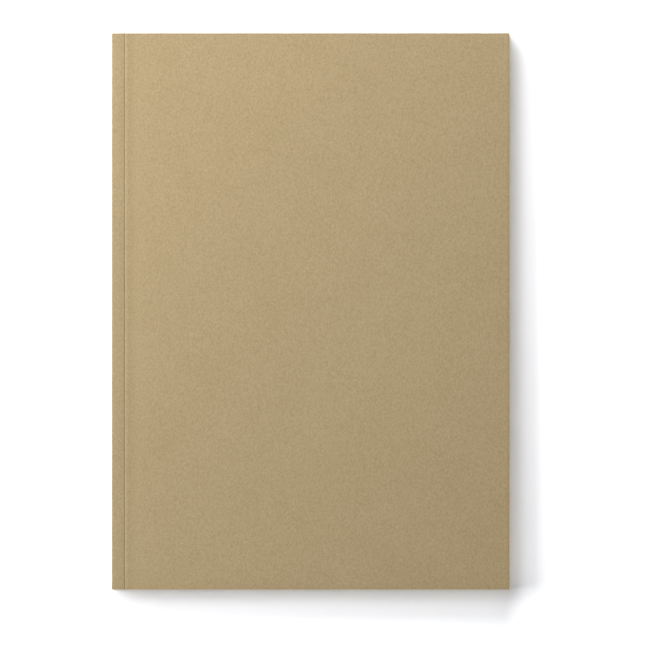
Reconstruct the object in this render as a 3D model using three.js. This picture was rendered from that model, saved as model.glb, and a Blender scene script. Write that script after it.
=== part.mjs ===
// Softcover notebook: a block of cut leaves glued at the spine into one creased card cover.
// Millimetres, +Z up. The closed notebook lies on its back cover, spine at -X, head at +Y.
// The origin is on the underside, in the middle of the closed notebook.

import * as THREE from "three";

// Trimmed size of the closed notebook.
const BOOK_WIDTH = 150;
const BOOK_HEIGHT = 210;

// Leaves. The air is what the roughness of paper keeps between two sheets.
const LEAF_COUNT = 48;
const LEAF_THICKNESS = 0.1;
const LEAF_AIR = 0.02;

// Cover card, its crease beside the spine and the folds along the spine's edges.
const CARD_THICKNESS = 0.4;
const SCORE_FROM_SPINE = 4.9;
const SCORE_WIDTH = 0.56;
const SCORE_DEPTH = 0.15;
const SCORE_GAP = 0.1;
const FOLD_RADIUS = 0.35;
const FOLD_STEPS = 6;

// Glue: the film down the bound edges, and the thin bands that hold the first and last leaf.
const SPINE_GLUE_THICKNESS = 0.5;
const SIDE_GLUE_THICKNESS = 0.1;
const SIDE_GLUE_WIDTH = 3.6;

// Notches sawn across the bound edge, which the glue film fills with ridges.
const NOTCH_COUNT = 10;
const NOTCH_DEPTH = 0.8;
const NOTCH_WIDTH = 1;
const NOTCH_END_MARGIN = 15;

// Clearances between pieces that lie on each other or seat in each other.
const SEAT_GAP = 0.02;
const GLUE_TO_LEAF_GAP = 0.03;
const RIDGE_GAP = 0.05;

// The block parts into sections that turn one by one. The first holds a single leaf.
const FIRST_SECTION_LEAVES = 1;
const EQUAL_SECTIONS = 4;

// Levels from the underside up.
const leafPitch = LEAF_THICKNESS + LEAF_AIR;
const blockBase = CARD_THICKNESS + SEAT_GAP + SIDE_GLUE_THICKNESS + SEAT_GAP;
const blockTop = blockBase + LEAF_COUNT * leafPitch - LEAF_AIR;
const frontInside = blockTop + SEAT_GAP + SIDE_GLUE_THICKNESS + SEAT_GAP;
const bookThickness = frontInside + CARD_THICKNESS;

// Places from the spine to the fore edge.
const spineX = -BOOK_WIDTH / 2;
const foreX = BOOK_WIDTH / 2;
const scoreX = spineX + SCORE_FROM_SPINE;
const glueOuterX = spineX + CARD_THICKNESS + SEAT_GAP;
const glueInnerX = glueOuterX + SPINE_GLUE_THICKNESS;
const boundEdgeX = glueInnerX + GLUE_TO_LEAF_GAP;
const notchEndX = boundEdgeX + NOTCH_DEPTH;

const materials = {
  card: { color: 0xb19f7c, roughness: 0.78, metalness: 0 },
  paper: { color: 0xf1ece0, roughness: 0.9, metalness: 0 },
  glue: { color: 0xe6dcc0, roughness: 0.45, metalness: 0 },
};

function addPiece(group, name, geometry, finish) {
  const mesh = new THREE.Mesh(geometry, new THREE.MeshStandardMaterial(materials[finish]));
  mesh.name = name;
  group.add(mesh);
  return mesh;
}

function outline(points) {
  return new THREE.Shape(points.map(([x, y]) => new THREE.Vector2(x, y)));
}

// A flat sheet: an outline in plan, given a thickness upwards from the level z.
function sheet(points, z, thickness) {
  const solid = new THREE.ExtrudeGeometry(outline(points), { depth: thickness, bevelEnabled: false });
  return solid.translate(0, 0, z);
}

// A strip from tail to head: a section in X and Z, drawn along Y.
function strip(points) {
  const solid = new THREE.ExtrudeGeometry(outline(points), { depth: BOOK_HEIGHT, bevelEnabled: false });
  solid.rotateX(Math.PI / 2);
  return solid.translate(0, BOOK_HEIGHT / 2, 0);
}

// The middle of each notch, spread evenly between the two end margins.
function notchCentres() {
  const reach = BOOK_HEIGHT / 2 - NOTCH_END_MARGIN;
  const step = NOTCH_COUNT > 1 ? (2 * reach) / (NOTCH_COUNT - 1) : 0;
  return Array.from({ length: NOTCH_COUNT }, (_, i) => (NOTCH_COUNT > 1 ? -reach + i * step : 0));
}

// An edge from tail to head at x that steps to stepX over each notch.
function steppedEdge(x, stepX, stepWidth) {
  const points = [[x, -BOOK_HEIGHT / 2]];
  for (const y of notchCentres()) {
    points.push([x, y - stepWidth / 2]);
    points.push([stepX, y - stepWidth / 2]);
    points.push([stepX, y + stepWidth / 2]);
    points.push([x, y + stepWidth / 2]);
  }
  points.push([x, BOOK_HEIGHT / 2]);
  return points;
}

// Leaf 1 lies under the front cover, and the last leaf on the back cover.
function leafBottom(number) {
  return blockBase + (LEAF_COUNT - number) * leafPitch;
}

function leafTop(number) {
  return leafBottom(number) + LEAF_THICKNESS;
}

function makeLeaf(number) {
  const points = [
    ...steppedEdge(boundEdgeX, notchEndX, NOTCH_WIDTH),
    [foreX, BOOK_HEIGHT / 2],
    [foreX, -BOOK_HEIGHT / 2],
  ];
  return sheet(points, leafBottom(number), LEAF_THICKNESS);
}

// First and last leaf of each section, from the front of the notebook to the back.
function sectionLeaves() {
  const rest = LEAF_COUNT - FIRST_SECTION_LEAVES;
  const ends = [FIRST_SECTION_LEAVES];
  for (let k = 1; k <= EQUAL_SECTIONS; k++) {
    ends.push(FIRST_SECTION_LEAVES + Math.round((rest * k) / EQUAL_SECTIONS));
  }
  return ends.map((last, i) => ({ first: i === 0 ? 1 : ends[i - 1] + 1, last }));
}

// The film over one section's bound edges, with a ridge in every notch.
function makeSpineGlue(bottom, top) {
  const ridgeEndX = notchEndX - RIDGE_GAP;
  const ridgeWidth = NOTCH_WIDTH - 2 * RIDGE_GAP;
  const points = [
    ...steppedEdge(glueInnerX, ridgeEndX, ridgeWidth),
    [glueOuterX, BOOK_HEIGHT / 2],
    [glueOuterX, -BOOK_HEIGHT / 2],
  ];
  return sheet(points, bottom, top - bottom);
}

// The band under the front hinge strip. Its lip covers the bound edges of the first section.
function makeFrontSideGlue(sectionBottom) {
  const bandBottom = blockTop + SEAT_GAP;
  const bandTop = bandBottom + SIDE_GLUE_THICKNESS;
  return strip([
    [glueOuterX, sectionBottom],
    [glueInnerX, sectionBottom],
    [glueInnerX, bandBottom],
    [glueInnerX + SIDE_GLUE_WIDTH, bandBottom],
    [glueInnerX + SIDE_GLUE_WIDTH, bandTop],
    [glueOuterX, bandTop],
  ]);
}

function makeBackSideGlue() {
  const bottom = CARD_THICKNESS + SEAT_GAP;
  return strip([
    [glueOuterX, bottom],
    [glueInnerX + SIDE_GLUE_WIDTH, bottom],
    [glueInnerX + SIDE_GLUE_WIDTH, bottom + SIDE_GLUE_THICKNESS],
    [glueOuterX, bottom + SIDE_GLUE_THICKNESS],
  ]);
}

// The band between the spine's fold and the score. The fold rounds the outer corner.
function makeHingeStrip(outside, inside) {
  const inward = Math.sign(inside - outside);
  const radius = Math.min(FOLD_RADIUS, 0.9 * CARD_THICKNESS);
  const scoreDepth = Math.min(SCORE_DEPTH, 0.6 * CARD_THICKNESS);
  const points = [
    [spineX, inside],
    [scoreX - SCORE_GAP / 2, inside],
    [scoreX - SCORE_GAP / 2, outside + inward * scoreDepth],
    [scoreX - SCORE_WIDTH / 2, outside],
  ];
  for (let i = 0; i <= FOLD_STEPS; i++) {
    const turn = (i / FOLD_STEPS) * (Math.PI / 2);
    points.push([
      spineX + radius * (1 - Math.sin(turn)),
      outside + inward * radius * (1 - Math.cos(turn)),
    ]);
  }
  return strip(points);
}

// A cover panel, from the score to the fore edge.
function makeCoverPanel(outside, inside) {
  const inward = Math.sign(inside - outside);
  const scoreDepth = Math.min(SCORE_DEPTH, 0.6 * CARD_THICKNESS);
  return strip([
    [scoreX + SCORE_GAP / 2, inside],
    [foreX, inside],
    [foreX, outside],
    [scoreX + SCORE_WIDTH / 2, outside],
    [scoreX + SCORE_GAP / 2, outside + inward * scoreDepth],
  ]);
}

function makeSpinePanel() {
  const bottom = CARD_THICKNESS + SEAT_GAP;
  const top = frontInside - SEAT_GAP;
  return strip([
    [spineX, bottom],
    [spineX + CARD_THICKNESS, bottom],
    [spineX + CARD_THICKNESS, top],
    [spineX, top],
  ]);
}

function addCover(group) {
  addPiece(group, "front_cover", makeCoverPanel(bookThickness, frontInside), "card");
  addPiece(group, "front_hinge_strip", makeHingeStrip(bookThickness, frontInside), "card");
  addPiece(group, "spine_panel", makeSpinePanel(), "card");
  addPiece(group, "back_hinge_strip", makeHingeStrip(0, CARD_THICKNESS), "card");
  addPiece(group, "back_cover", makeCoverPanel(0, CARD_THICKNESS), "card");
}

function addLeaves(group) {
  for (let number = 1; number <= LEAF_COUNT; number++) {
    addPiece(group, `leaf_${String(number).padStart(2, "0")}`, makeLeaf(number), "paper");
  }
}

function addGlue(group) {
  const [firstSection, ...laterSections] = sectionLeaves();
  addPiece(group, "front_side_glue", makeFrontSideGlue(leafBottom(firstSection.last)), "glue");
  laterSections.forEach((section, i) => {
    const solid = makeSpineGlue(leafBottom(section.last), leafTop(section.first));
    addPiece(group, `spine_glue_${i + 2}`, solid, "glue");
  });
  addPiece(group, "back_side_glue", makeBackSideGlue(), "glue");
}

const notebook = new THREE.Group();
notebook.name = "notebook";
addCover(notebook);
addLeaves(notebook);
addGlue(notebook);

export default notebook;
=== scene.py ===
import math

import bmesh
import bpy
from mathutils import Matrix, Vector


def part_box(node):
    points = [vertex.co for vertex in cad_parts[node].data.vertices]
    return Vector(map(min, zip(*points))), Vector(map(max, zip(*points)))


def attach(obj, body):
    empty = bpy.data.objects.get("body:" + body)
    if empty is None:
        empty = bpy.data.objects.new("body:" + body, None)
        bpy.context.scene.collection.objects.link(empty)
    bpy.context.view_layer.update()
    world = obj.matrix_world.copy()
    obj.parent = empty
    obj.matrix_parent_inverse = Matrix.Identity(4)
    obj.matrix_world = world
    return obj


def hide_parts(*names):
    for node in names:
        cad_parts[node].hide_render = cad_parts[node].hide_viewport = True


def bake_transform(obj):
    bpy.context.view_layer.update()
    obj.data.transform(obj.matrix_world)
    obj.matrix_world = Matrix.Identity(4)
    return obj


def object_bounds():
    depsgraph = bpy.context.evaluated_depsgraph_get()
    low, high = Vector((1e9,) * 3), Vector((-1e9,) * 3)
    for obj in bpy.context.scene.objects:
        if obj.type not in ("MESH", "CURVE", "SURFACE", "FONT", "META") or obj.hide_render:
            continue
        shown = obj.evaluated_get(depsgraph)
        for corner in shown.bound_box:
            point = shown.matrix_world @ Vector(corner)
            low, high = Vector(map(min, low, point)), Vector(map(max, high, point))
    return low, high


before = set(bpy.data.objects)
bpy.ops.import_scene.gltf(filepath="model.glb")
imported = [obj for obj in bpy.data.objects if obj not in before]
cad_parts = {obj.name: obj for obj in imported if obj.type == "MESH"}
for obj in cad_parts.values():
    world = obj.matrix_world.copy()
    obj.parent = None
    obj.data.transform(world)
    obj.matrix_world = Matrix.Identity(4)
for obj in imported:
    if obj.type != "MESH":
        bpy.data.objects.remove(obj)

# A closed softcover notebook in uncoated kraft card, seen from straight above on a white table.
mm = 0.001
cadLow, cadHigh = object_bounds()
print("frame loaded, CAD box in mm:", [round(v / mm, 2) for v in (*cadLow, *cadHigh)])

spineX, foreX = cadLow.x, cadHigh.x
tailY, headY = cadLow.y, cadHigh.y
bookTop = cadHigh.z
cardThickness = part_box("front_cover")[1].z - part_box("front_cover")[0].z
scoreX = (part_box("front_hinge_strip")[1].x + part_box("front_cover")[0].x) / 2
leafNodes = sorted(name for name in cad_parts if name.startswith("leaf_"))
glueNodes = sorted(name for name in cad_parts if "glue" in name)


def toLinear(hexColour):
    channels = [int(hexColour[i:i + 2], 16) / 255 for i in (1, 3, 5)]
    linear = [c / 12.92 if c <= 0.04045 else ((c + 0.055) / 1.055) ** 2.4 for c in channels]
    return (*linear, 1.0)


# One node with its settings and links. An input takes a number, a hex colour, a socket, or a node,
# which stands for its first output in use. The stops are those of a colour ramp. On a Mix node of
# colours, input 0 is the share of the second one, and 6 and 7 are the two colours.
def addNode(tree, kind, inputs=(), stops=(), **settings):
    node = tree.nodes.new(kind)
    for name, value in settings.items():
        setattr(node, name, value)
    for key, value in dict(inputs).items():
        if isinstance(value, bpy.types.Node):
            value = next(socket for socket in value.outputs if socket.enabled)
        if isinstance(value, bpy.types.NodeSocket):
            tree.links.new(value, node.inputs[key])
        else:
            node.inputs[key].default_value = toLinear(value) if isinstance(value, str) else value
    for i, (place, colour) in enumerate(stops):
        elements = node.color_ramp.elements
        element = elements[i] if i < len(elements) else elements.new(place)
        element.position = place
        element.color = toLinear(colour)
    return node


def newMaterial(name):
    material = bpy.data.materials.new(name)
    material.use_nodes = True
    material.node_tree.nodes.clear()
    return material, material.node_tree


# Uncoated kraft cover card, machine-made: dull, with short fibres lying mostly along the grain
# from head to tail. The eye sees soft mottling of about half a millimetre and a few darker shives.
kraft = {
    "dark": "#ad9870",
    "middle": "#bda77f",
    "light": "#cbb690",
    "toneAt": (0.3, 0.5, 0.7),
    "shive": "#8f7957",
    "shiveShare": 0.35,
    "shiveFrom": 0.28,
    "shiveTo": 0.24,
    # painted shade of the groove along the score, on top of the pressed fibres' own darker tone
    "crease": "#7b6040",
    "creaseHalfMm": 0.26,
    "creaseShare": 0.56,
    "mottleMm": 0.55,  # finer in life, drawn as coarse as the picture shows
    "mottleShare": 0.68,
    "mottleDetail": 3.0,
    "mottleHarshness": 0.6,
    "grainStretch": 1.5,  # the mottling is longer along the grain
    "cloudMm": 14.0,
    "cloudShare": 0.08,
    "cloudDetail": 2.0,
    "cloudHarshness": 0.5,
    "fibreMm": 0.16,
    "fibreLengthMm": 1.6,
    "fibreShare": 0.24,
    "fibreDetail": 2.0,
    "fibreCurl": 0.6,
    "ior": 1.5,
    "roughness": 0.85,
    "roughnessSpread": 0.06,
    "gloss": 0.3,
    "bumpMm": 0.01,
}


def makeKraft():
    material, tree = newMaterial("uncoatedKraftCard")
    place = addNode(tree, "ShaderNodeTexCoord").outputs["Object"]
    perMetre = 1 / (kraft["mottleMm"] * mm)
    mottleScale = (perMetre, perMetre / kraft["grainStretch"], perMetre)
    mottlePlace = addNode(tree, "ShaderNodeMapping", {"Vector": place, "Scale": mottleScale})
    mottle = addNode(tree, "ShaderNodeTexNoise", {
        "Vector": mottlePlace, "Scale": 1.0,
        "Detail": kraft["mottleDetail"], "Roughness": kraft["mottleHarshness"],
    })
    cloud = addNode(tree, "ShaderNodeTexNoise", {
        "Vector": place, "Scale": 1 / (kraft["cloudMm"] * mm),
        "Detail": kraft["cloudDetail"], "Roughness": kraft["cloudHarshness"],
    })
    across, along = 1 / (kraft["fibreMm"] * mm), 1 / (kraft["fibreLengthMm"] * mm)
    fibrePlace = addNode(tree, "ShaderNodeMapping", {"Vector": place, "Scale": (across, along, across)})
    fibre = addNode(tree, "ShaderNodeTexNoise", {
        "Vector": fibrePlace, "Scale": 1.0,
        "Detail": kraft["fibreDetail"], "Distortion": kraft["fibreCurl"],
    })
    tone = addNode(tree, "ShaderNodeMath", {0: mottle, 1: kraft["mottleShare"]}, operation="MULTIPLY")
    for texture, share in ((cloud, kraft["cloudShare"]), (fibre, kraft["fibreShare"])):
        tone = addNode(tree, "ShaderNodeMath", {0: texture, 1: share, 2: tone}, operation="MULTIPLY_ADD")
    colours = (kraft["dark"], kraft["middle"], kraft["light"])
    base = addNode(tree, "ShaderNodeValToRGB", {"Fac": tone}, stops=zip(kraft["toneAt"], colours))
    shiveShare = addNode(tree, "ShaderNodeMapRange", {
        "Value": fibre, "From Min": kraft["shiveFrom"], "From Max": kraft["shiveTo"],
        "To Max": kraft["shiveShare"],
    })
    flecked = addNode(tree, "ShaderNodeMix", {
        0: shiveShare, 6: base, 7: kraft["shive"],
    }, data_type="RGBA")

    # Painted shade along the score: near the crease the colour darkens, for the groove's shade and the
    # pressed fibres' darker tone.
    fromSpine = addNode(tree, "ShaderNodeSeparateXYZ", {"Vector": place}).outputs["X"]
    aside = addNode(tree, "ShaderNodeMath", {0: fromSpine, 1: scoreX}, operation="SUBTRACT")
    away = addNode(tree, "ShaderNodeMath", {0: aside}, operation="ABSOLUTE")
    creaseShadeShare = addNode(tree, "ShaderNodeMapRange", {
        "Value": away, "From Max": kraft["creaseHalfMm"] * mm,
        "To Min": kraft["creaseShare"], "To Max": 0.0,
    }, interpolation_type="SMOOTHSTEP")
    colour = addNode(tree, "ShaderNodeMix", {
        0: creaseShadeShare, 6: flecked, 7: kraft["crease"],
    }, data_type="RGBA")
    rough = addNode(tree, "ShaderNodeMapRange", {
        "Value": tone, "From Min": kraft["toneAt"][0], "From Max": kraft["toneAt"][-1],
        "To Min": kraft["roughness"] + kraft["roughnessSpread"],
        "To Max": kraft["roughness"] - kraft["roughnessSpread"],
    })
    bump = addNode(tree, "ShaderNodeBump", {"Height": tone, "Distance": kraft["bumpMm"] * mm})
    skin = addNode(tree, "ShaderNodeBsdfPrincipled", {
        "Base Color": colour, "Roughness": rough, "Normal": bump,
        "IOR": kraft["ior"], "Specular IOR Level": kraft["gloss"],
    })
    addNode(tree, "ShaderNodeOutputMaterial", {"Surface": skin})
    return material


# The guillotined edge of the same card: raw fibre in plies, rougher than the pressed faces.
cutEdge = {
    "dark": "#a8936f",
    "light": "#cdba97",
    "toneAt": (0.3, 0.7),
    "plyMm": 0.09,
    "alongMm": 1.2,
    "plyDetail": 2.0,
    "ior": 1.5,
    "roughness": 0.88,
    "bumpMm": 0.02,
}


def makeCutEdge():
    material, tree = newMaterial("cutKraftEdge")
    place = addNode(tree, "ShaderNodeTexCoord").outputs["Object"]
    along, across = 1 / (cutEdge["alongMm"] * mm), 1 / (cutEdge["plyMm"] * mm)
    plyPlace = addNode(tree, "ShaderNodeMapping", {"Vector": place, "Scale": (along, along, across)})
    ply = addNode(tree, "ShaderNodeTexNoise", {
        "Vector": plyPlace, "Scale": 1.0, "Detail": cutEdge["plyDetail"],
    })
    colours = (cutEdge["dark"], cutEdge["light"])
    colour = addNode(tree, "ShaderNodeValToRGB", {"Fac": ply}, stops=zip(cutEdge["toneAt"], colours))
    bump = addNode(tree, "ShaderNodeBump", {"Height": ply, "Distance": cutEdge["bumpMm"] * mm})
    skin = addNode(tree, "ShaderNodeBsdfPrincipled", {
        "Base Color": colour, "Roughness": cutEdge["roughness"], "Normal": bump,
        "IOR": cutEdge["ior"],
    })
    addNode(tree, "ShaderNodeOutputMaterial", {"Surface": skin})
    return material


# Uncoated 80 g writing paper, warm white, with pale ruled lines on both sides of each leaf. The
# cut edges of the block are coloured deeper in tone than the faces, partly as painted shade between the
# leaves, in bands of slightly uneven leaves.
paper = {
    "faceDark": "#dad4c7",
    "faceLight": "#e2dccf",
    "edgeDark": "#c9c2b2",
    "edgeLight": "#d9d2c3",
    "toneAt": (0.3, 0.65),
    "line": "#98a5b1",
    "linePitchMm": 7.0,
    "lineWidthMm": 0.25,
    "topMarginMm": 20.0,
    "tailMarginMm": 12.0,
    "faceFacing": 0.5,  # what looks this much up or down is a face, and the rest is a cut edge
    "formationMm": 1.4,  # the cloudiness of the sheet held to the light
    "formationDetail": 3.0,
    "formationHarshness": 0.65,
    "bandMm": 0.5,  # leaves are finer, drawn as coarse as the picture shows at the cut edges
    "bandLengthMm": 33.0,
    "bandDetail": 3.0,
    "bandHarshness": 0.75,
    "ior": 1.5,
    "roughness": 0.85,
    "gloss": 0.25,
    "bumpMm": 0.006,
}


def makePaper():
    material, tree = newMaterial("uncoatedWritingPaper")
    coords = addNode(tree, "ShaderNodeTexCoord")
    place = coords.outputs["Object"]
    height = addNode(tree, "ShaderNodeSeparateXYZ", {"Vector": place}).outputs["Y"]
    facing = addNode(tree, "ShaderNodeSeparateXYZ", {"Vector": coords.outputs["Normal"]}).outputs["Z"]
    upDown = addNode(tree, "ShaderNodeMath", {0: facing}, operation="ABSOLUTE")
    isFace = addNode(tree, "ShaderNodeMath", {
        0: upDown, 1: paper["faceFacing"],
    }, operation="GREATER_THAN")
    formation = addNode(tree, "ShaderNodeTexNoise", {
        "Vector": place, "Scale": 1 / (paper["formationMm"] * mm),
        "Detail": paper["formationDetail"], "Roughness": paper["formationHarshness"],
    })
    along, across = 1 / (paper["bandLengthMm"] * mm), 1 / (paper["bandMm"] * mm)
    bandPlace = addNode(tree, "ShaderNodeMapping", {"Vector": place, "Scale": (along, along, across)})
    band = addNode(tree, "ShaderNodeTexNoise", {
        "Vector": bandPlace, "Scale": 1.0,
        "Detail": paper["bandDetail"], "Roughness": paper["bandHarshness"],
    })
    faceColours = zip(paper["toneAt"], (paper["faceDark"], paper["faceLight"]))
    edgeColours = zip(paper["toneAt"], (paper["edgeDark"], paper["edgeLight"]))
    face = addNode(tree, "ShaderNodeValToRGB", {"Fac": formation}, stops=faceColours)
    # The cut edges take a deeper tone, partly painted shade between the leaves.
    edge = addNode(tree, "ShaderNodeValToRGB", {"Fac": band}, stops=edgeColours)
    base = addNode(tree, "ShaderNodeMix", {0: isFace, 6: edge, 7: face}, data_type="RGBA")

    # Places of the ruled lines, counted in pitches below the first one.
    firstLine, lastLine = headY - paper["topMarginMm"] * mm, tailY + paper["tailMarginMm"] * mm
    halfLine = paper["lineWidthMm"] / paper["linePitchMm"] / 2
    below = addNode(tree, "ShaderNodeMath", {0: firstLine, 1: height}, operation="SUBTRACT")
    pitches = addNode(tree, "ShaderNodeMath", {
        0: below, 1: paper["linePitchMm"] * mm,
    }, operation="DIVIDE")
    toLine = addNode(tree, "ShaderNodeMath", {0: pitches, 1: 0.5}, operation="PINGPONG")
    onLine = addNode(tree, "ShaderNodeMath", {0: toLine, 1: halfLine}, operation="LESS_THAN")
    notAbove = addNode(tree, "ShaderNodeMath", {0: pitches, 1: -halfLine}, operation="GREATER_THAN")
    notBelow = addNode(tree, "ShaderNodeMath", {0: height, 1: lastLine}, operation="GREATER_THAN")
    ruled = isFace
    for test in (onLine, notAbove, notBelow):
        ruled = addNode(tree, "ShaderNodeMath", {0: ruled, 1: test}, operation="MULTIPLY")
    colour = addNode(tree, "ShaderNodeMix", {0: ruled, 6: base, 7: paper["line"]}, data_type="RGBA")
    bump = addNode(tree, "ShaderNodeBump", {"Height": formation, "Distance": paper["bumpMm"] * mm})
    skin = addNode(tree, "ShaderNodeBsdfPrincipled", {
        "Base Color": colour, "Roughness": paper["roughness"], "Normal": bump,
        "IOR": paper["ior"], "Specular IOR Level": paper["gloss"],
    })
    addNode(tree, "ShaderNodeOutputMaterial", {"Surface": skin})
    return material


# Hot-melt spine glue: a waxy amber film, smoother than paper, with ripples left by the wheel.
glue = {
    "thick": "#c9b585",
    "thin": "#d8c9a0",
    "toneAt": (0.3, 0.7),
    "rippleMm": 1.8,
    "rippleDetail": 2.0,
    "ior": 1.48,
    "roughness": 0.42,
    "roughnessSpread": 0.1,
    "bumpMm": 0.04,
}


def makeGlue():
    material, tree = newMaterial("hotMeltGlue")
    place = addNode(tree, "ShaderNodeTexCoord").outputs["Object"]
    ripple = addNode(tree, "ShaderNodeTexNoise", {
        "Vector": place, "Scale": 1 / (glue["rippleMm"] * mm), "Detail": glue["rippleDetail"],
    })
    colours = (glue["thick"], glue["thin"])
    colour = addNode(tree, "ShaderNodeValToRGB", {"Fac": ripple}, stops=zip(glue["toneAt"], colours))
    rough = addNode(tree, "ShaderNodeMapRange", {
        "Value": ripple, "To Min": glue["roughness"] + glue["roughnessSpread"],
        "To Max": glue["roughness"] - glue["roughnessSpread"],
    })
    bump = addNode(tree, "ShaderNodeBump", {"Height": ripple, "Distance": glue["bumpMm"] * mm})
    skin = addNode(tree, "ShaderNodeBsdfPrincipled", {
        "Base Color": colour, "Roughness": rough, "Normal": bump, "IOR": glue["ior"],
    })
    addNode(tree, "ShaderNodeOutputMaterial", {"Surface": skin})
    return material


kraftMaterial = makeKraft()
edgeMaterial = makeCutEdge()
paperMaterial = makePaper()
glueMaterial = makeGlue()
print("materials made")

# The cover card in section, in mm. Heights are below the top of the notebook, and places are
# from the spine edge. The card sinks into the crease, swells past it and dips once more.
card = {
    "foldRadius": 0.2,
    "foldSteps": 6,
    "crownPlace": [
        0.2, 0.8, 1.9, 3.2, 4.1, 4.6, 4.93, 5.1, 5.5, 5.9, 7.0, 7.9, 8.7, 9.4, 11.8, 15.0, 30.0,
    ],
    "crownDrop": [
        0.1, 0.06, 0.03, 0.055, 0.125, 0.165, 0.28, 0.11, 0.06, 0.03, 0.125, 0.185, 0.205, 0.19,
        0.085, 0.03, 0.03,
    ],
    "stepUntil": {4.4: 0.15, 5.6: 0.04, 9.5: 0.15, 30.0: 0.6},  # closest at the crease
    "coarseStep": 6.0,
    "edgeStep": 0.4,  # over the drooping margin
    "edgeSoftening": 0.06,
    "edgeHold": 0.04,  # a last flat strip, so that the rounded edge is not shaded inwards
    "rows": 64,
    "droop": 0.09,  # the free edges of the front cover hang a little
    "droopWidth": 4.0,
    "droopPower": 2.0,  # the hanging grows with this power towards the edge
    "spineSeam": 0.01,
    "bendHalfWidth": 1.1,
    "sharpAngle": 40.0,  # degrees, past which an edge is not shaded smooth
    "cutFacing": 0.6,  # faces that look this much along X or Y are cut edges
}


# The slope at a chosen height: level at a top or a bottom, and otherwise a mean of both sides
# that leans to the gentler one.
def crownSlope(i):
    places, drops = card["crownPlace"], card["crownDrop"]
    if i == 0 or i == len(places) - 1:
        return 0.0
    before = (drops[i] - drops[i - 1]) / (places[i] - places[i - 1])
    after = (drops[i + 1] - drops[i]) / (places[i + 1] - places[i])
    return 2 * before * after / (before + after) if before * after > 0 else 0.0


# A smooth curve through the chosen heights.
def crownDrop(u):
    places, drops = card["crownPlace"], card["crownDrop"]
    if u <= places[0] or u >= places[-1]:
        return drops[0] if u <= places[0] else drops[-1]
    i = max(k for k, place in enumerate(places) if place <= u)
    width = places[i + 1] - places[i]
    t = (u - places[i]) / width
    rise = (3 - 2 * t) * t * t
    leave, arrive = t * (1 - t) ** 2, t * t * (t - 1)
    bulge = leave * crownSlope(i) + arrive * crownSlope(i + 1)
    return drops[i] + (drops[i + 1] - drops[i]) * rise + bulge * width


# Places across the card: close together at the crease and at the fore edge, wide between them.
def stationsAcross():
    width = (foreX - spineX) / mm
    marginStart = width - card["droopWidth"]
    lastPlace = width - card["edgeSoftening"] - card["edgeStep"] / 2
    places, u = [], card["foldRadius"]
    while u < lastPlace:
        places.append(u)
        if u >= marginStart:
            u += card["edgeStep"]
        else:
            step = next((s for until, s in card["stepUntil"].items() if u < until), card["coarseStep"])
            u = min(u + step, marginStart)
    places.append(width - card["edgeSoftening"] - card["edgeHold"])
    return places


# The closed outline of a cover in X and Z: round the fold, over the card and back inside it.
def coverOutline():
    radius, soft = card["foldRadius"] * mm, card["edgeSoftening"] * mm
    level, foreLevel = (bookTop - card["crownDrop"][end] * mm for end in (0, -1))
    inside = bookTop - cardThickness
    corner = soft * (1 - math.sqrt(0.5))  # how far a rounded edge stays off the corner at 45 degrees
    outline = []
    for i in range(card["foldSteps"]):
        turn = math.pi - (math.pi / 2) * i / card["foldSteps"]
        outline.append((spineX + radius * (1 + math.cos(turn)), level - radius * (1 - math.sin(turn))))
    stations = [spineX + u * mm for u in stationsAcross()]
    outline += [(x, bookTop - crownDrop((x - spineX) / mm) * mm) for x in stations]
    outline += [(foreX - soft, foreLevel), (foreX - corner, foreLevel - corner)]
    outline += [(foreX, foreLevel - soft)]
    outline += [(foreX, inside + soft), (foreX - corner, inside + corner), (foreX - soft, inside)]
    outline += [(x, inside) for x in reversed(stations)]
    outline += [(spineX + cardThickness, inside), (spineX + cardThickness, level - radius)]
    return outline


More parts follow.
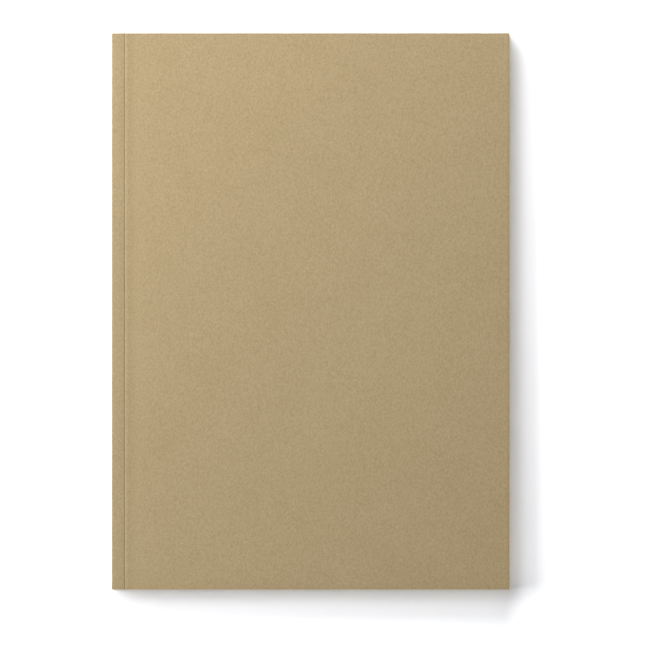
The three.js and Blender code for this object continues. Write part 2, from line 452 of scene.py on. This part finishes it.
# An outline swept from head to tail, with rows close together at both ends. The free margins droop.
def makeSweepTree():
    tree = bpy.data.node_groups.new("sweptCard", "GeometryNodeTree")
    wanted = {
        "Outline": "Geometry", "Tail": "Float", "Head": "Float", "Fore Edge": "Float", "Rows": "Int",
        "Crease": "Float", "Droop": "Float", "Droop Width": "Float", "Sharp Angle": "Float",
        "Cut Facing": "Float", "Face Material": "Material", "Cut Material": "Material",
    }
    for name, kind in wanted.items():
        tree.interface.new_socket(name, in_out="INPUT", socket_type="NodeSocket" + kind)
    tree.interface.new_socket("Card", in_out="OUTPUT", socket_type="NodeSocketGeometry")
    given = addNode(tree, "NodeGroupInput").outputs
    ends = addNode(tree, "ShaderNodeMath", {0: given["Head"], 1: given["Tail"]}, operation="ADD")
    middle = addNode(tree, "ShaderNodeMath", {0: ends, 1: 0.5}, operation="MULTIPLY")
    half = addNode(tree, "ShaderNodeMath", {0: given["Head"], 1: middle}, operation="SUBTRACT")

    # This line gives only the direction and the count of the rows, which are then set out anew.
    line = addNode(tree, "GeometryNodeCurvePrimitiveLine", {"Start": (0, 1, 0), "End": (0, -1, 0)})
    path = addNode(tree, "GeometryNodeResampleCurve", {"Curve": line, "Count": given["Rows"]})
    along = addNode(tree, "GeometryNodeSplineParameter").outputs["Factor"]
    turn = addNode(tree, "ShaderNodeMath", {0: along, 1: math.pi}, operation="MULTIPLY")
    swing = addNode(tree, "ShaderNodeMath", {0: turn}, operation="COSINE")
    rowY = addNode(tree, "ShaderNodeMath", {0: swing, 1: half, 2: middle}, operation="MULTIPLY_ADD")
    rowPlace = addNode(tree, "ShaderNodeCombineXYZ", {"Y": rowY})
    rows = addNode(tree, "GeometryNodeSetPosition", {"Geometry": path, "Position": rowPlace})
    outline = addNode(tree, "GeometryNodeMeshToCurve", {"Mesh": given["Outline"]})
    swept = addNode(tree, "GeometryNodeCurveToMesh", {
        "Curve": rows, "Profile Curve": outline, "Fill Caps": True,
    })

    position = addNode(tree, "GeometryNodeInputPosition")
    where = addNode(tree, "ShaderNodeSeparateXYZ", {"Vector": position})
    offMiddle = addNode(tree, "ShaderNodeMath", {0: where.outputs["Y"], 1: middle}, operation="SUBTRACT")
    fromMiddle = addNode(tree, "ShaderNodeMath", {0: offMiddle}, operation="ABSOLUTE")
    endStart = addNode(tree, "ShaderNodeMath", {0: half, 1: given["Droop Width"]}, operation="SUBTRACT")
    endShare = addNode(tree, "ShaderNodeMapRange", {
        "Value": fromMiddle, "From Min": endStart, "From Max": half,
    })
    foreStart = addNode(tree, "ShaderNodeMath", {
        0: given["Fore Edge"], 1: given["Droop Width"],
    }, operation="SUBTRACT")
    foreShare = addNode(tree, "ShaderNodeMapRange", {
        "Value": where.outputs["X"], "From Min": foreStart, "From Max": given["Fore Edge"],
    })
    freeFrom = addNode(tree, "ShaderNodeMath", {
        0: given["Crease"], 1: given["Droop Width"],
    }, operation="ADD")
    freeShare = addNode(tree, "ShaderNodeMapRange", {
        "Value": where.outputs["X"], "From Min": given["Crease"], "From Max": freeFrom,
    })
    margin = addNode(tree, "ShaderNodeMath", {0: endShare, 1: foreShare}, operation="MAXIMUM")
    curl = addNode(tree, "ShaderNodeMath", {0: margin, 1: card["droopPower"]}, operation="POWER")
    freeCurl = addNode(tree, "ShaderNodeMath", {0: curl, 1: freeShare}, operation="MULTIPLY")
    fall = addNode(tree, "ShaderNodeMath", {0: freeCurl, 1: given["Droop"]}, operation="MULTIPLY")
    sink = addNode(tree, "ShaderNodeMath", {0: fall, 1: -1.0}, operation="MULTIPLY")
    down = addNode(tree, "ShaderNodeCombineXYZ", {"Z": sink})
    drooped = addNode(tree, "GeometryNodeSetPosition", {"Geometry": swept, "Offset": down})

    smooth = addNode(tree, "GeometryNodeSetShadeSmooth", {"Geometry": drooped, "Shade Smooth": True})
    angle = addNode(tree, "GeometryNodeInputMeshEdgeAngle").outputs["Unsigned Angle"]
    isSharp = addNode(tree, "ShaderNodeMath", {
        0: angle, 1: given["Sharp Angle"],
    }, operation="GREATER_THAN")
    sharp = addNode(tree, "GeometryNodeSetShadeSmooth", {
        "Geometry": smooth, "Selection": isSharp, "Shade Smooth": False,
    }, domain="EDGE")
    real = addNode(tree, "GeometryNodeRealizeInstances", {"Geometry": sharp})
    faced = addNode(tree, "GeometryNodeSetMaterial", {
        "Geometry": real, "Material": given["Face Material"],
    })
    normal = addNode(tree, "GeometryNodeInputNormal")
    facing = addNode(tree, "ShaderNodeSeparateXYZ", {"Vector": normal})
    toEnds = addNode(tree, "ShaderNodeMath", {0: facing.outputs["Y"]}, operation="ABSOLUTE")
    outward = addNode(tree, "ShaderNodeMath", {0: toEnds, 1: facing.outputs["X"]}, operation="MAXIMUM")
    isCut = addNode(tree, "ShaderNodeMath", {
        0: outward, 1: given["Cut Facing"],
    }, operation="GREATER_THAN")
    cut = addNode(tree, "GeometryNodeSetMaterial", {
        "Geometry": faced, "Selection": isCut, "Material": given["Cut Material"],
    })
    addNode(tree, "NodeGroupOutput", {"Card": cut})
    return tree


sweepTree = makeSweepTree()


# The sweep turns its outline half round, so the outline is drawn turned back.
def sweepCard(name, outline, droop=0.0):
    corners = [(-x, -z, 0) for x, z in outline]
    sides = [(i, (i + 1) % len(corners)) for i in range(len(corners))]
    drawn = bpy.data.meshes.new(name)
    drawn.from_pydata(corners, sides, [])
    piece = bpy.data.objects.new(name, drawn)
    bpy.context.scene.collection.objects.link(piece)
    sweep = piece.modifiers.new("sweep", "NODES")
    sweep.node_group = sweepTree
    sizes = {
        "Tail": tailY, "Head": headY, "Fore Edge": foreX, "Rows": card["rows"], "Crease": scoreX,
        "Droop": droop * mm, "Droop Width": card["droopWidth"] * mm,
        "Sharp Angle": math.radians(card["sharpAngle"]), "Cut Facing": card["cutFacing"],
        "Face Material": kraftMaterial, "Cut Material": edgeMaterial,
    }
    for item in sweepTree.interface.items_tree:
        if item.in_out == "INPUT" and item.name in sizes:
            sweep[item.identifier] = sizes[item.name]
    evaluated = piece.evaluated_get(bpy.context.evaluated_depsgraph_get())
    mesh = bpy.data.meshes.new_from_object(evaluated)
    piece.modifiers.remove(sweep)
    piece.data = mesh
    shell = bmesh.new()
    shell.from_mesh(mesh)
    bmesh.ops.recalc_face_normals(shell, faces=shell.faces)
    shell.to_mesh(mesh)
    shell.free()
    return piece


def makeFrontCard():
    piece = sweepCard("front_cover_card", coverOutline(), card["droop"])
    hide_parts("front_cover", "front_hinge_strip")
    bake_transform(piece)
    return piece


def makeBackCard():
    piece = sweepCard("back_cover_card", [(x, bookTop - z) for x, z in coverOutline()])
    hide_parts("back_cover", "back_hinge_strip")
    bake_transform(piece)
    return piece


def makeSpineCard():
    fold = (card["foldRadius"] + card["crownDrop"][0] + card["spineSeam"]) * mm
    near, far, top = spineX, spineX + cardThickness, bookTop - fold
    piece = sweepCard("spine_card", [(near, fold), (far, fold), (far, top), (near, top)])
    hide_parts("spine_panel")
    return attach(piece, "spine_section")


cardPieces = [makeFrontCard(), makeBackCard(), makeSpineCard()]
print("cover card made:", {piece.name: len(piece.data.polygons) for piece in cardPieces})


def dressNodes(names, material):
    for name in names:
        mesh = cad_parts[name].data
        mesh.materials.clear()
        mesh.materials.append(material)


dressNodes(leafNodes, paperMaterial)
dressNodes(glueNodes, glueMaterial)
print("leaves and glue dressed:", len(leafNodes), "leaves")

# The table. It lies just under the notebook, so that the opened back cover has room on it. The
# camera sees it whiter than it lights the notebook, and past the notebook's reach it fades to white.
table = {
    "size": 8.0,  # metres
    "drop": 0.45,  # millimetres below the notebook
    "colour": (0.87, 0.87, 0.87, 1.0),
    # Over 1, so that the lit table is white, and a little cool, as the card warms its own shadow.
    "seenColour": (1.77, 1.78, 1.83, 1.0),
    "fadeFrom": 0.2,  # metres from the middle
    "fadeTo": 0.6,
    "fadeGlow": 1.0,
}


# The rays that find the room white: those to the camera, straight, in a gloss or through a clear
# piece. What the room throws on dull surfaces is not among them.
def seenShare(tree):
    path = addNode(tree, "ShaderNodeLightPath").outputs
    seen = path["Is Camera Ray"]
    for kind in ("Is Glossy Ray", "Is Transmission Ray"):
        seen = addNode(tree, "ShaderNodeMath", {0: seen, 1: path[kind]}, operation="MAXIMUM")
    return seen


def makeTable():
    half, z = table["size"] / 2, -table["drop"] * mm
    corners = [(-half, -half, z), (half, -half, z), (half, half, z), (-half, half, z)]
    mesh = bpy.data.meshes.new("table")
    mesh.from_pydata(corners, [], [(0, 1, 2, 3)])
    material, tree = newMaterial("whiteTable")
    seen = seenShare(tree)
    white = addNode(tree, "ShaderNodeMix", {
        0: seen, 6: table["colour"], 7: table["seenColour"],
    }, data_type="RGBA")
    plain = addNode(tree, "ShaderNodeBsdfDiffuse", {"Color": white})
    place = addNode(tree, "ShaderNodeTexCoord").outputs["Object"]
    away = addNode(tree, "ShaderNodeVectorMath", {0: place}, operation="LENGTH")
    glow = addNode(tree, "ShaderNodeMapRange", {
        "Value": away, "From Min": table["fadeFrom"], "From Max": table["fadeTo"],
        "To Max": table["fadeGlow"],
    }, interpolation_type="SMOOTHSTEP")
    strength = addNode(tree, "ShaderNodeMath", {0: seen, 1: glow}, operation="MULTIPLY")
    shine = addNode(tree, "ShaderNodeEmission", {"Strength": strength})
    both = addNode(tree, "ShaderNodeAddShader", {0: plain, 1: shine})
    addNode(tree, "ShaderNodeOutputMaterial", {"Surface": both})
    mesh.materials.append(material)
    piece = bpy.data.objects.new("table", mesh)
    bpy.context.scene.collection.objects.link(piece)


# Two tall soft strips stand low to the left and past the head, so the shadow lies right and below
# and fades out softly. A third lamp higher up evens them out. A weak low one on the other side keeps
# the shaded leaf edges readable, and the room itself is nearly dark. In degrees, metres and watts.
lamps = {
    "leftStrip": {"azimuth": 178, "elevation": 27, "size": (0.62, 0.38), "power": 5.44},
    "headStrip": {"azimuth": 100, "elevation": 27, "size": (0.62, 0.38), "power": 5.4},
    "highSoft": {"azimuth": 139, "elevation": 52, "size": (0.62, 0.45), "power": 1.55},
    "lowFill": {"azimuth": -39, "elevation": 5.3, "size": (1.05, 0.1), "power": 4.0},
}
room = {
    "lampDistance": 0.85,
    "light": 0.026,  # what it throws on dull surfaces, while the camera sees it as 1
}


def makeLights():
    for name, lamp in lamps.items():
        around, up = math.radians(lamp["azimuth"]), math.radians(lamp["elevation"])
        out = Vector((math.cos(up) * math.cos(around), math.cos(up) * math.sin(around), math.sin(up)))
        data = bpy.data.lights.new(name, "AREA")
        data.shape = "RECTANGLE"
        data.size, data.size_y = lamp["size"]
        data.energy = lamp["power"]
        light = bpy.data.objects.new(name, data)
        light.location = out * room["lampDistance"]
        light.rotation_euler = out.to_track_quat("Z", "Y").to_euler()
        bpy.context.scene.collection.objects.link(light)
    world = bpy.data.worlds.new("whiteRoom")
    world.use_nodes = True
    tree = world.node_tree
    tree.nodes.clear()
    strength = addNode(tree, "ShaderNodeMath", {
        0: seenShare(tree), 1: 1 - room["light"], 2: room["light"],
    }, operation="MULTIPLY_ADD")
    back = addNode(tree, "ShaderNodeBackground", {"Color": (1, 1, 1, 1), "Strength": strength})
    addNode(tree, "ShaderNodeOutputWorld", {"Surface": back})
    bpy.context.scene.world = world


# Straight above with a long lens. The notebook's middle stands left of and above the picture's.
camera = {
    "height": 2.5,  # metres above the cover
    "pixelsPerMm": 2.6505,
    "pictureSide": 665,
    "bookMiddlePixel": (310.6, 311.4),
    "sensorMm": 36.0,
}


def makeCamera():
    data = bpy.data.cameras.new("camera")
    data.sensor_width = camera["sensorMm"]
    spread = camera["pictureSide"] / camera["pixelsPerMm"] * mm
    data.lens = camera["sensorMm"] * camera["height"] / spread
    half = camera["pictureSide"] / 2
    across, down = camera["bookMiddlePixel"]
    x = (half - across) / camera["pixelsPerMm"] * mm
    y = (down - half) / camera["pixelsPerMm"] * mm
    eye = bpy.data.objects.new("camera", data)
    eye.location = (x, y, bookTop + camera["height"])
    bpy.context.scene.collection.objects.link(eye)
    bpy.context.scene.camera = eye


makeTable()
makeLights()
makeCamera()
bpy.context.scene.view_settings.view_transform = "Standard"
print("table, lights and camera made")
